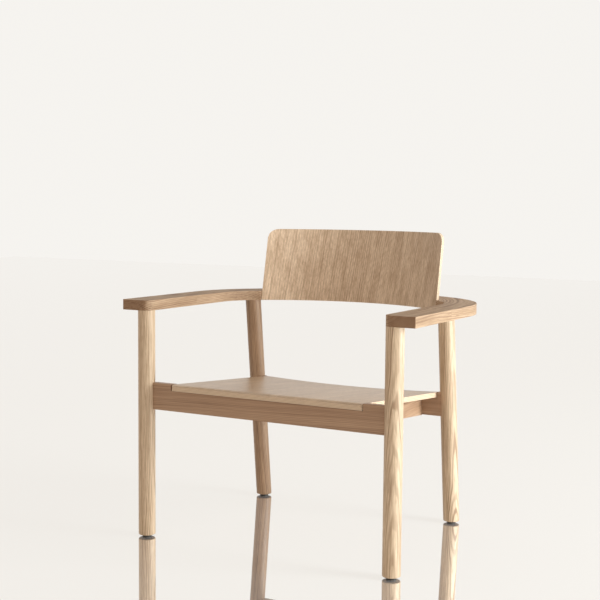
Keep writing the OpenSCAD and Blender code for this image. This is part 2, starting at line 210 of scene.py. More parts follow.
@dataclass(frozen=True)
class OakFinish:
    """Satin lacquered oak, sawn from a log so that its rings, pores and end grain agree.

    The heart of the log runs along the grain through (heart_a, heart_b), the two places across the
    grain, and leans by lean_a and lean_b for each metre, which draws the pointed figures. The
    brightness can change steadily across the piece by a set amount for each metre: painted light, for
    a piece that the window light falls on more at one end. Each scale is one across the grain and one
    along it, and each range is where a noise starts and ends its rise.
    """

    early: Colour = (0.585, 0.418, 0.275)
    late: Colour = (0.315, 0.188, 0.105)
    ring: float = 0.0040
    heart_a: float = 0.0
    heart_b: float = 0.0
    lean_a: float = 0.0
    lean_b: float = 0.0
    waver: float = 0.005
    ring_depth: float = 0.75
    late_from: float = 0.10
    streak_depth: float = 0.55
    fibre_depth: float = 0.50
    pore_depth: float = 0.45
    end_shade: float = 0.55
    roughness: float = 0.48
    specular: float = 0.5
    coat: float = 0.10
    # Painted light: how much the colour lightens or darkens for each metre across the piece.
    painted_light_drift: float = 0.0
    bend_y: float = 0.026
    bend_r: float = 0.25
    # Painted light: lifts the whole piece's brightness by this share of the drift.
    painted_light_lift: float = 0.2
    end_range: Pair = (0.75, 0.95)
    late_until: float = 0.86
    ring_spread: float = 0.75
    ring_relief: float = 0.35
    pore_fading: float = 0.55
    slow_scale: Pair = (16.0, 4.0)
    quick_scale: Pair = (90.0, 9.0)
    pore_scale: Pair = (1000.0, 13.0)
    pore_range: Pair = (0.55, 0.70)
    fibre_scale: Pair = (420.0, 6.0)
    fibre_range: Pair = (0.36, 0.68)
    fibre_tint: Colour = (0.66, 0.60, 0.54)
    streak_scale: Pair = (70.0, 1.8)
    streak_range: Pair = (0.34, 0.66)
    streak_tint: Colour = (0.72, 0.66, 0.60)
    end_tint: Colour = (1.0, 0.90, 0.84)
    bump_strength: float = 0.22
    bump_height: float = 0.0004
    pore_roughness: float = 0.14
    coat_roughness: float = 0.32

    def axes(self, g: Graph, grain: Grain) -> tuple[Socket, Socket, Socket, Socket | float]:
        """Coordinates across and along the grain.

        Args:
            g: The material's graph.
            grain: The way the grain runs.

        Returns:
            Two sockets across the grain, one along it, and how much the surface shows end grain.
        """
        place = g.add("ShaderNodeTexCoord").outputs["Object"]
        x, y, z = g.add("ShaderNodeSeparateXYZ", {0: place}).outputs
        if grain is Grain.AROUND_BACK:
            behind = g.math("MAXIMUM", g.math("SUBTRACT", y, self.bend_y), 0.0)
            squares = g.math("ADD", g.math("MULTIPLY", x, x), g.math("MULTIPLY", behind, behind))
            turn = g.math("MULTIPLY", g.math("ARCTAN2", x, behind), self.bend_r)
            front = g.math("MAXIMUM", g.math("SUBTRACT", self.bend_y, y), 0.0)
            along = g.math("MULTIPLY_ADD", g.math("SIGN", x), front, turn)
            return g.math("SQRT", squares), z, along, 0.0
        facing = g.add("ShaderNodeNewGeometry").outputs["Normal"]
        normal = g.add("ShaderNodeSeparateXYZ", {0: facing}).outputs
        a, b, along, lengthwise = {
            Grain.ALONG_X: (y, z, x, normal[0]),
            Grain.ALONG_Y: (x, z, y, normal[1]),
            Grain.ALONG_Z: (x, y, z, normal[2]),
        }[grain]
        return a, b, along, g.window(g.math("ABSOLUTE", lengthwise), *self.end_range)

    def rings(self, g: Graph, place: tuple[Socket, Socket, Socket], seed: float) -> Socket:
        """Growth rings, 0 in the pale spring wood and up to 1 in the dark summer wood.

        Args:
            g: The material's graph.
            place: Two distances from the heart across the grain, and the place along it.
            seed: Moves the pattern, so that no two pieces match.

        Returns:
            The socket of the rings.
        """
        a, b, _ = place
        slow = g.grain_noise(place, self.slow_scale, seed)
        quick = g.grain_noise(place, self.quick_scale, seed + 5.0)
        wander = g.math("MULTIPLY", g.math("SUBTRACT", slow, 0.5), self.waver * 2)
        wander = g.math("MULTIPLY_ADD", g.math("SUBTRACT", quick, 0.5), self.waver * 0.5, wander)
        squares = g.math("ADD", g.math("MULTIPLY", a, a), g.math("MULTIPLY", b, b))
        distance = g.math("ADD", g.math("SQRT", squares), wander)
        count = g.math("DIVIDE", distance, self.ring)
        year = g.math("ADD", g.math("FLOOR", count), seed)
        strength = g.add("ShaderNodeTexWhiteNoise", {"W": year}, noise_dimensions="1D").outputs[0]
        phase = g.math("FRACT", count)
        darkening = g.window(phase, self.late_from, 0.5 * self.late_from + 0.5)
        shape = g.math("MULTIPLY", darkening, g.window(phase, 1.0, self.late_until))
        depth = g.math("MULTIPLY_ADD", strength, self.ring_spread, 1 - self.ring_spread)
        return g.math("MULTIPLY", shape, depth)

    def darkened(self, g: Graph, wood: Socket, factor: Socket, tint: Colour) -> Socket:
        """Multiplies the wood's colour by a tint, as far as the factor says."""
        return g.blend(factor, wood, g.blend(1.0, wood, rgba(tint), "MULTIPLY"))

    def relief(self, g: Graph, rings: Socket, pores: Socket) -> Socket:
        """Sinks the pores a little and raises the rings.

        Args:
            g: The material's graph.
            rings: The growth rings.
            pores: The pores.

        Returns:
            The socket of the surface's normal.
        """
        height = g.math("MULTIPLY_ADD", pores, -1.0, g.math("MULTIPLY", rings, self.ring_relief))
        bump = {"Strength": self.bump_strength, "Distance": self.bump_height, "Height": height}
        return g.add("ShaderNodeBump", bump).outputs[0]

    def dress(self, name: str, grain: Grain, seed: float) -> bpy.types.Material:
        """Makes the material for one piece.

        Args:
            name: The material's name.
            grain: The way the piece's grain runs.
            seed: Moves the pattern, so that no two pieces match.

        Returns:
            The material.
        """
        material = bpy.data.materials.new(name)
        material.use_nodes = True
        g = Graph(material.node_tree)
        a, b, along, end = self.axes(g, grain)
        # Painted light: a brightness that changes steadily across the piece, standing in for the window
        # light falling more on one end.
        painted_light = g.math("MULTIPLY_ADD", a, self.painted_light_drift, 1.0 + abs(self.painted_light_drift) * self.painted_light_lift)
        a = g.math("MULTIPLY_ADD", along, -self.lean_a, g.math("SUBTRACT", a, self.heart_a))
        b = g.math("MULTIPLY_ADD", along, -self.lean_b, g.math("SUBTRACT", b, self.heart_b))
        place = (a, b, along)
        rings = self.rings(g, place, seed)
        pores = g.window(g.grain_noise(place, self.pore_scale, seed), *self.pore_range)
        pores = g.math("MULTIPLY", pores, g.math("MULTIPLY_ADD", rings, -self.pore_fading, 1.0))
        fibres = g.window(g.grain_noise(place, self.fibre_scale, seed, 2.0), *self.fibre_range)
        streaks = g.window(g.grain_noise(place, self.streak_scale, seed, 3.0), *self.streak_range)
        wood = g.blend(g.math("MULTIPLY", rings, self.ring_depth), rgba(self.early), rgba(self.late))
        wood = self.darkened(g, wood, g.math("MULTIPLY", streaks, self.streak_depth), self.streak_tint)
        wood = self.darkened(g, wood, g.math("MULTIPLY", fibres, self.fibre_depth), self.fibre_tint)
        wood = g.blend(g.math("MULTIPLY", pores, self.pore_depth), wood, rgba(self.late))
        # Applies the painted light across the piece.
        if self.painted_light_drift != 0.0:
            wood = g.add("ShaderNodeHueSaturation", {"Value": painted_light, "Color": wood}).outputs[0]
        if grain is not Grain.AROUND_BACK:
            shade = tuple(self.end_shade * part for part in self.end_tint)
            wood = self.darkened(g, wood, end, shade)
        shader = g.tree.nodes["Principled BSDF"]
        g.feed(shader.inputs["Base Color"], wood)
        rough = g.math("MULTIPLY_ADD", pores, self.pore_roughness, self.roughness)
        g.feed(shader.inputs["Roughness"], rough)
        g.feed(shader.inputs["Normal"], self.relief(g, rings, pores))
        shader.inputs["Specular IOR Level"].default_value = self.specular
        shader.inputs["Coat Weight"].default_value = self.coat
        shader.inputs["Coat Roughness"].default_value = self.coat_roughness
        return material


@dataclass(frozen=True)
class PlyEdgeFinish:
    """The cut edge of moulded plywood: veneers laid crosswise, seen end on and side on in turn.

    The edge's UV map holds the place along it and the depth through it, in metres. The fleck's scale
    is one along the edge and one through it.
    """

    side_grain: Colour = (0.76, 0.59, 0.42)
    end_grain: Colour = (0.50, 0.34, 0.215)
    glue: Colour = (0.26, 0.165, 0.10)
    veneer: float = 0.012 / 7
    roughness: float = 0.55
    crosswise_depth: float = 0.72
    fleck_scale: Pair = (120.0, 1400.0)
    fleck_range: Pair = (0.40, 0.68)
    glue_range: Pair = (0.42, 0.50)
    fleck_depth: float = 0.22
    glue_depth: float = 0.35

    def dress(self, name: str) -> bpy.types.Material:
        """Makes the material.

        Args:
            name: The material's name.

        Returns:
            The material.
        """
        material = bpy.data.materials.new(name)
        material.use_nodes = True
        g = Graph(material.node_tree)
        place = g.add("ShaderNodeUVMap", uv_map="edge").outputs[0]
        along, depth, _ = g.add("ShaderNodeSeparateXYZ", {0: place}).outputs
        layer = g.math("DIVIDE", depth, self.veneer)
        crosswise = g.math("MODULO", g.math("FLOOR", layer), 2.0)
        in_layer = g.math("ABSOLUTE", g.math("SUBTRACT", g.math("FRACT", layer), 0.5))
        glue = g.window(in_layer, *self.glue_range)
        scaled = [g.math("MULTIPLY", part, scale) for part, scale in zip((along, depth), self.fleck_scale)]
        fleck = g.add("ShaderNodeCombineXYZ", {0: scaled[0], 1: scaled[1]}).outputs[0]
        flecks = g.window(g.noise(fleck, 1.0), *self.fleck_range)
        turned = g.math("MULTIPLY", crosswise, self.crosswise_depth)
        wood = g.blend(turned, rgba(self.side_grain), rgba(self.end_grain))
        wood = g.blend(g.math("MULTIPLY", flecks, self.fleck_depth), wood, rgba(self.end_grain))
        wood = g.blend(g.math("MULTIPLY", glue, self.glue_depth), wood, rgba(self.glue))
        shader = g.tree.nodes["Principled BSDF"]
        g.feed(shader.inputs["Base Color"], wood)
        shader.inputs["Roughness"].default_value = self.roughness
        return material


@dataclass(frozen=True)
class PlainFinish:
    """A finish with faint speckle, for turned fittings: steel, beech or plastic."""

    colour: Colour
    speck: Colour
    metallic: float = 0.0
    roughness: float = 0.5
    speck_size: float = 0.0008
    speck_range: Pair = (0.42, 0.62)
    speck_roughness: float = 0.1

    def dress(self, name: str) -> bpy.types.Material:
        """Makes the material.

        Args:
            name: The material's name.

        Returns:
            The material.
        """
        material = bpy.data.materials.new(name)
        material.use_nodes = True
        g = Graph(material.node_tree)
        place = g.add("ShaderNodeTexCoord").outputs["Object"]
        specks = g.window(g.noise(place, 1 / self.speck_size, 3.0), *self.speck_range)
        shader = g.tree.nodes["Principled BSDF"]
        g.feed(shader.inputs["Base Color"], g.blend(specks, rgba(self.colour), rgba(self.speck)))
        rough = g.math("MULTIPLY_ADD", specks, self.speck_roughness, self.roughness)
        g.feed(shader.inputs["Roughness"], rough)
        shader.inputs["Metallic"].default_value = self.metallic
        return material


LEG_OAK = OakFinish(
    early=(0.76, 0.585, 0.405),
    late=(0.34, 0.205, 0.115),
    ring=0.0034,
    lean_a=0.012,
    lean_b=-0.045,
    waver=0.007,
    ring_depth=0.85,
    late_from=0.40,
    fibre_depth=0.6,
    # The legs' end grain is darkened more than the other pieces': partly the end grain's own colour,
    # partly painted shade for the undersides of the feet just above the floor.
    end_shade=0.45,
)
# Painted shade: a darker copy of the leg oak for the right rear leg, standing in for the shade that falls
# on that leg.
PAINTED_SHADE_LEG_OAK = replace(LEG_OAK, early=(0.46, 0.300, 0.185), late=(0.20, 0.108, 0.058))
BOARD_OAK = OakFinish(
    early=(0.52, 0.362, 0.236),
    late=(0.22, 0.118, 0.064),
    ring=0.0038,
    lean_a=0.03,
    lean_b=0.02,
    ring_depth=0.75,
    late_from=0.35,
    end_shade=0.74,
    roughness=0.60,
    specular=0.25,
    coat=0.0,
)
RAIL_OAK = OakFinish(
    early=(0.50, 0.318, 0.198),
    late=(0.235, 0.125, 0.068),
    ring=0.0034,
    heart_a=-0.32,
    heart_b=0.21,
    lean_b=0.03,
)
BACKREST_VENEER = OakFinish(
    early=(0.735, 0.575, 0.420),
    late=(0.30, 0.180, 0.105),
    ring=0.0058,
    heart_a=0.9,
    lean_a=0.035,
    ring_depth=0.45,
    streak_depth=0.70,
    fibre_depth=0.60,
    pore_depth=0.35,
    coat=0.0,
    # Painted light: the backrest is painted lighter towards the sitter's right end, which faces the window
    # light, and darker towards the left.
    painted_light_drift=-0.50,
)
SEAT_VENEER = OakFinish(
    early=(0.66, 0.475, 0.310),
    ring=0.0060,
    heart_a=0.9,
    lean_a=0.006,
    ring_depth=0.45,
    streak_depth=0.5,
    fibre_depth=0.4,
    end_shade=0.92,
    roughness=0.34,
    specular=0.38,
)
PLY_EDGE = PlyEdgeFinish()
ZINC = PlainFinish((0.62, 0.63, 0.66), (0.48, 0.49, 0.52), metallic=1.0, roughness=0.34)
BEECH = PlainFinish((0.66, 0.50, 0.34), (0.55, 0.38, 0.24), roughness=0.6)
GLIDE_PLASTIC = PlainFinish((0.035, 0.030, 0.027), (0.050, 0.044, 0.040), roughness=0.45)


# ---- Making pieces -----------------------------------------------------------------------------


def evaluated_mesh(source: bpy.types.Object) -> bpy.types.Mesh:
    """Applies an object's modifiers.

    Args:
        source: The object.

    Returns:
        Its mesh with the modifiers applied, as new data.
    """
    bpy.context.view_layer.update()
    graph = bpy.context.evaluated_depsgraph_get()
    return bpy.data.meshes.new_from_object(
        source.evaluated_get(graph), preserve_all_data_layers=True, depsgraph=graph
    )


def new_object(name: str, mesh: bpy.types.Mesh) -> bpy.types.Object:
    """Puts a mesh in the scene as an object at the origin.

    Args:
        name: The object's name.
        mesh: Its mesh.

    Returns:
        The new object.
    """
    made = bpy.data.objects.new(name, mesh)
    bpy.context.scene.collection.objects.link(made)
    return made


def ease_edges(piece: bpy.types.Object, width: float, sharp: float = 35.0) -> None:
    """Rounds the sharp edges of a piece and keeps its flat faces flat.

    Args:
        piece: The object that is changed.
        width: Width of the rounding, in metres.
        sharp: Edges bent by more than this many degrees are rounded.
    """
    bevel = piece.modifiers.new("ease", "BEVEL")
    bevel.limit_method = "ANGLE"
    bevel.angle_limit = math.radians(sharp)
    bevel.width = width
    bevel.segments = 3
    bevel.use_clamp_overlap = True
    piece.data.shade_smooth()
    weighted = piece.modifiers.new("flats", "WEIGHTED_NORMAL")
    weighted.weight = 90
    mesh = evaluated_mesh(piece)
    piece.modifiers.clear()
    piece.data = mesh


def finish_piece(piece: bpy.types.Object, slot: str, *nodes: str) -> None:
    """Lets a finished piece ride on the chair and stand for its CAD nodes.

    Args:
        piece: The finished object.
        slot: Not used.
        *nodes: The CAD nodes that it stands for.
    """
    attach(piece, BODY)
    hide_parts(*nodes)
    LOG.info("%s: %d faces, for %s", piece.name, len(piece.data.polygons), ", ".join(nodes))


def eased_copy(node: bpy.types.Object, name: str, width: float) -> bpy.types.Object:
    """A copy of a CAD node's mesh with eased edges.

    Args:
        node: The CAD node's object.
        name: Name of the new piece.
        width: Width of the rounding, in metres.

    Returns:
        The new object.
    """
    mesh = node.data.copy()
    work = bmesh.new()
    work.from_mesh(mesh)
    bmesh.ops.remove_doubles(work, verts=work.verts, dist=WELD)
    bmesh.ops.dissolve_limit(work, angle_limit=FLAT, verts=work.verts, edges=work.edges)
    work.to_mesh(mesh)
    work.free()
    mesh.materials.clear()
    copy = new_object(name, mesh)
    ease_edges(copy, width)
    return copy


@dataclass
class Legs:
    """Four round legs: two upright in front and two raked behind."""

    radius: float = 0.020
    foot_ease: float = 0.0022
    glide_radius: float = 0.011
    glide_height: float = 0.005
    rake: float = math.radians(6.8)
    board_fall: float = math.radians(0.46)
    hearts: tuple[tuple[Vector, ...], ...] = (
        (Vector((-0.035, 0.055)), Vector((-0.050, 0.030))),
        (Vector((0.140, 0.070)), Vector((0.110, 0.075))),
    )
    # Painted shade: the leg that takes the darker oak in place of the shade that falls on it.
    painted_shade_leg: tuple[str, str] = ("right", "rear")
    ring_step: float = 0.0004
    side_seed: float = 3.1
    row_seed: float = 7.7
    ease_steps: int = 5
    sides: int = 96
    crease: float = math.radians(40)

    def underside(self, y: float) -> float:
        """Height of the board's underside at a depth y."""
        low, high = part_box("left_arm")
        return low.z + math.tan(self.board_fall) * (high.y - y)

    def leg_mesh(self, name: str, foot: Vector, rake: float) -> bpy.types.Mesh:
        """One leg: rings from the eased foot up to the underside of the board.

        Args:
            name: The mesh's name.
            foot: Middle of the foot, on the floor.
            rake: Angle the leg leans forwards as it rises.

        Returns:
            The closed mesh.
        """
        rise = math.tan(self.board_fall)
        run = math.tan(rake)
        levels = []
        for k in range(self.ease_steps + 1):
            turn = math.pi / 2 * k / self.ease_steps
            height = self.glide_height + self.foot_ease * (1 - math.cos(turn))
            levels.append((height, self.foot_ease * (1 - math.sin(turn))))
        work = bmesh.new()
        rings = []
        for height, inset in [*levels, (None, 0.0)]:
            ring = []
            for k in range(self.sides):
                angle = 2 * math.pi * k / self.sides
                reach = self.radius - inset
                offset = reach * math.sin(angle) / math.cos(rake)
                z = height
                if height is None:
                    z = (self.underside(foot.y) - rise * offset) / (1 - rise * run)
                place = (foot.x + reach * math.cos(angle), foot.y + offset - z * run, z)
                ring.append(work.verts.new(place))
            rings.append(ring)
        for low, high in zip(rings, rings[1:]):
            for k in range(self.sides):
                n = (k + 1) % self.sides
                work.faces.new((low[k], low[n], high[n], high[k]))
        work.faces.new(list(reversed(rings[0])))
        work.faces.new(rings[-1])
        mesh = bpy.data.meshes.new(name)
        work.to_mesh(mesh)
        work.free()
        mesh.shade_smooth()
        mesh.set_sharp_from_angle(angle=self.crease)
        return mesh

    def feet(self, side: str) -> dict[str, tuple[Vector, float]]:
        """Finds the two feet on one side.

        Args:
            side: "left" or "right".

        Returns:
            For the front and rear leg, the middle of the foot and the rake.
        """
        low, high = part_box("foot_glides")
        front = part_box(f"{side}_front_leg")
        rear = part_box(f"{side}_rear_leg")
        rear_y = high.y - self.glide_radius + self.glide_height * math.tan(self.rake)
        return {
            "front": (Vector(((front[0].x + front[1].x) / 2, low.y + self.glide_radius, 0)), 0.0),
            "rear": (Vector(((rear[0].x + rear[1].x) / 2, rear_y, 0)), self.rake),
        }

    def build(self) -> None:
        """Builds and dresses the four legs."""
        for number, side in enumerate(("left", "right")):
            for row, (place, (foot, rake)) in enumerate(self.feet(side).items()):
                name = f"{side}_{place}_leg_turned"
                leg = new_object(name, self.leg_mesh(name, foot, rake))
                # The right rear leg takes the darker oak: painted shade.
                log = PAINTED_SHADE_LEG_OAK if (side, place) == self.painted_shade_leg else LEG_OAK
                oak = replace(
                    log,
                    heart_a=foot.x + self.hearts[number][row].x,
                    heart_b=foot.y + self.hearts[number][row].y,
                    lean_b=log.lean_b - math.tan(rake),
                    ring=log.ring + self.ring_step * number,
                )
                seed = self.side_seed * number + self.row_seed * row
                leg.data.materials.append(oak.dress(name, Grain.ALONG_Z, seed))
                finish_piece(leg, "leg_oak", f"{side}_{place}_leg")


@dataclass
class Board:
    """The flat U: two arms and the bent back, with softly eased edges."""

    nodes: dict[str, bpy.types.Object]
    ease: float = 0.0025
    pieces: tuple[tuple[str, Grain, Pair], ...] = (
        ("left_arm", Grain.ALONG_Y, (0.300, 0.615)),
        ("right_arm", Grain.ALONG_Y, (-0.345, 0.46)),
        ("back_board", Grain.AROUND_BACK, (0.33, 0.47)),
    )
    seed: float = 4.3
    seed_step: float = 6.1

    def build(self) -> None:
        """Builds and dresses the three pieces of the board."""
        for number, (node, grain, (heart_a, heart_b)) in enumerate(self.pieces):
            piece = eased_copy(self.nodes[node], f"{node}_eased", self.ease)
            oak = replace(BOARD_OAK, heart_a=heart_a, heart_b=heart_b)
            seed = self.seed + self.seed_step * number
            piece.data.materials.append(oak.dress(f"{node}_oak", grain, seed))
            finish_piece(piece, "board_oak", node)


@dataclass
class RailFrame:
    """The four rails that carry the seat."""

    nodes: dict[str, bpy.types.Object]
    ease: float = 0.0005
    rails: tuple[tuple[str, Grain], ...] = (
        ("front_rail", Grain.ALONG_X),
        ("rear_rail", Grain.ALONG_X),
        ("left_side_rail", Grain.ALONG_Y),
        ("right_side_rail", Grain.ALONG_Y),
    )
    seed: float = 1.7
    seed_step: float = 5.3

    def build(self) -> None:
        """Builds and dresses the rails."""
        for number, (node, grain) in enumerate(self.rails):
            rail = eased_copy(self.nodes[node], f"{node}_eased", self.ease)
            seed = self.seed + self.seed_step * number
            rail.data.materials.append(RAIL_OAK.dress(f"{node}_oak", grain, seed))
            finish_piece(rail, "rail_oak", node)


def recalculated(mesh: bpy.types.Mesh) -> bpy.types.Mesh:
    """Turns every face of a closed mesh outwards.

    Args:
        mesh: The mesh that is changed.

    Returns:
        The same mesh.
    """
    work = bmesh.new()
    work.from_mesh(mesh)
    bmesh.ops.recalc_face_normals(work, faces=work.faces)
    work.to_mesh(mesh)
    work.free()
    return mesh


class Rule:
    """A Geometry Nodes tree with named inputs, run on a mesh to make a new one."""

    def __init__(self, name: str, sizes: tuple[str, ...], materials: tuple[str, ...]) -> None:
        """Makes the tree and its sockets.

        Args:
            name: The tree's name.
            sizes: Names of its number inputs.
            materials: Names of its material inputs.
        """
        self.tree = bpy.data.node_groups.new(name, "GeometryNodeTree")
        self.g = Graph(self.tree)
        face = self.tree.interface
        face.new_socket("Geometry", in_out="INPUT", socket_type="NodeSocketGeometry")
        for size in sizes:
            face.new_socket(size, in_out="INPUT", socket_type="NodeSocketFloat")
        for material in materials:
            face.new_socket(material, in_out="INPUT", socket_type="NodeSocketMaterial")
        face.new_socket("Geometry", in_out="OUTPUT", socket_type="NodeSocketGeometry")
        self.given = self.g.add("NodeGroupInput").outputs

    def end(self, shape: Socket, *dressing: tuple[object, Socket]) -> None:
        """Ends the tree.

        Args:
            shape: Socket of the finished shape.
            *dressing: Which faces take a material, and the material's socket.
        """
        g = self.g
        last = g.add("GeometryNodeRealizeInstances", {0: shape}).outputs[0]
        for chosen, material in dressing:
            dressed = {"Geometry": last, "Selection": chosen, "Material": material}
            last = g.add("GeometryNodeSetMaterial", dressed).outputs[0]
        g.add("NodeGroupOutput", {0: last})

    def run(self, name: str, mesh: bpy.types.Mesh, values: dict[str, object]) -> bpy.types.Object:
        """Runs the tree and keeps its result as a plain mesh.

        Args:
            name: Name of the new object.
            mesh: The mesh that the tree starts from.
            values: Value of each named input.

        Returns:
            The new object, without modifiers.
        """
        holder = new_object(f"{name}_source", mesh)
        modifier = holder.modifiers.new("rule", "NODES")
        modifier.node_group = self.tree
        for item in self.tree.interface.items_tree:
            if item.in_out == "INPUT" and item.name in values:
                modifier[item.identifier] = values[item.name]
        made = recalculated(evaluated_mesh(holder))
        holder.modifiers.clear()
        bpy.data.objects.remove(holder)
        return new_object(name, made)


class WrappedPanelRule(Rule):
    """Wraps a flat panel round a leaning upright cylinder and rounds its upper corners."""

    sizes: tuple[str, ...] = (
        "Half width",
        "Height",
        "Corner",
        "Radius",
        "Thickness",
        "Lean",
        "Low edge",
        "Axis",
    )
    crowding: float = 0.35
    weld: float = 0.0001

    def __init__(self, columns: int, rows: int) -> None:
        """Builds the tree.

        Args:
            columns: Points across the panel.
            rows: Points up the panel.
        """
        super().__init__("wrapped_panel", self.sizes, ("Face", "Edge"))
        g = self.g
        given = self.given
        grid = {"Size X": 2.0, "Size Y": 1.0, "Vertices X": columns, "Vertices Y": rows}
        sheet = g.add("GeometryNodeMeshGrid", grid).outputs["Mesh"]
        upwards = {"Mesh": sheet, "Offset": (0, 0, 1), "Individual": False}
        raised = g.add("GeometryNodeExtrudeMesh", upwards)
        under = g.add("GeometryNodeFlipFaces", {"Mesh": sheet}).outputs[0]
        join = g.add("GeometryNodeJoinGeometry")
        for part in (raised.outputs["Mesh"], under):
            self.tree.links.new(part, join.inputs[0])
        welded = {"Geometry": join.outputs[0], "Distance": self.weld}
        block = g.add("GeometryNodeMergeByDistance", welded).outputs[0]
        start = g.add("GeometryNodeInputPosition").outputs[0]
        u, v, w = g.add("ShaderNodeSeparateXYZ", {0: start}).outputs
        depth = g.math("MULTIPLY", w, given["Thickness"])
        along = g.math("MULTIPLY_ADD", u, given["Half width"], g.math("MULTIPLY", v, given["Height"]))
        edge_map = g.add("ShaderNodeCombineXYZ", {0: along, 1: depth}).outputs[0]
        mapped = g.add(
            "GeometryNodeStoreNamedAttribute",
            {"Geometry": block, "Name": "edge", "Value": edge_map},
            data_type="FLOAT2",
            domain="CORNER",
        ).outputs[0]
        place = self.wrapped(u, v, depth)
        wrapped = g.add("GeometryNodeSetPosition", {"Geometry": mapped, "Position": place}).outputs[0]
        self.end(wrapped, (True, given["Face"]), (raised.outputs["Side"], given["Edge"]))

    def wrapped(self, u: Socket, v: Socket, depth: Socket) -> Socket:
        """Place of each point of the panel.

        Args:
            u: From -1 to 1 across the panel.
            v: From -0.5 to 0.5 up the panel.
            depth: Distance behind the front face.

        Returns:
            The socket of the place.
        """
        g = self.g
        half, height, corner = (self.given[name] for name in ("Half width", "Height", "Corner"))
        crowded = g.math("SINE", g.math("MULTIPLY", u, math.pi / 2))
        even = g.math("MULTIPLY", u, 1 - self.crowding)
        x = g.math("MULTIPLY", half, g.math("MULTIPLY_ADD", crowded, self.crowding, even))
        straight = g.math("SUBTRACT", half, corner)
        past = g.math("MAXIMUM", g.math("SUBTRACT", g.math("ABSOLUTE", x), straight), 0.0)
        left = g.math("SUBTRACT", g.math("MULTIPLY", corner, corner), g.math("MULTIPLY", past, past))
        bow = g.math("SQRT", g.math("MAXIMUM", left, 0.0))
        top = g.math("ADD", g.math("SUBTRACT", height, corner), bow)
        rise = g.math("MULTIPLY", top, g.math("ADD", v, 0.5))
        radius = g.math("ADD", self.given["Radius"], depth)
        squares = (g.math("MULTIPLY", radius, radius), g.math("MULTIPLY", x, x))
        chord = g.math("SQRT", g.math("SUBTRACT", *squares))
        reach = g.math("DIVIDE", chord, g.math("COSINE", self.given["Lean"]))
        axis = g.math("MULTIPLY_ADD", rise, g.math("TANGENT", self.given["Lean"]), self.given["Axis"])
        z = g.math("ADD", rise, self.given["Low edge"])
        return g.add("ShaderNodeCombineXYZ", {0: x, 1: g.math("ADD", axis, reach), 2: z}).outputs[0]


@dataclass
class Backrest:
    """The curved plywood backrest, leaning back, with rounded upper corners."""

    radius: float = 0.416
    thickness: float = 0.012
    lean: float = math.radians(11.4)
    corner: float = 0.022
    ease: float = 0.0012
    columns: int = 129
    rows: int = 25
    seed: float = 5.2

    def build(self) -> None:
        """Builds and dresses the backrest."""
        low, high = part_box("backrest")
        height = high.z - low.z
        behind = (self.radius + self.thickness) / math.cos(self.lean)
        values = {
            "Half width": high.x,
            "Height": height,
            "Corner": self.corner,
            "Radius": self.radius,
            "Thickness": self.thickness,
            "Lean": self.lean,
            "Low edge": low.z,
            "Axis": high.y - behind - height * math.tan(self.lean),
            "Face": BACKREST_VENEER.dress("backrest_veneer", Grain.ALONG_Z, self.seed),
            "Edge": PLY_EDGE.dress("backrest_edge"),
        }
        rule = WrappedPanelRule(self.columns, self.rows)
        panel = rule.run("backrest_moulded", bpy.data.meshes.new("backrest_source"), values)
        ease_edges(panel, self.ease)
        finish_piece(panel, "backrest_plywood", "backrest")


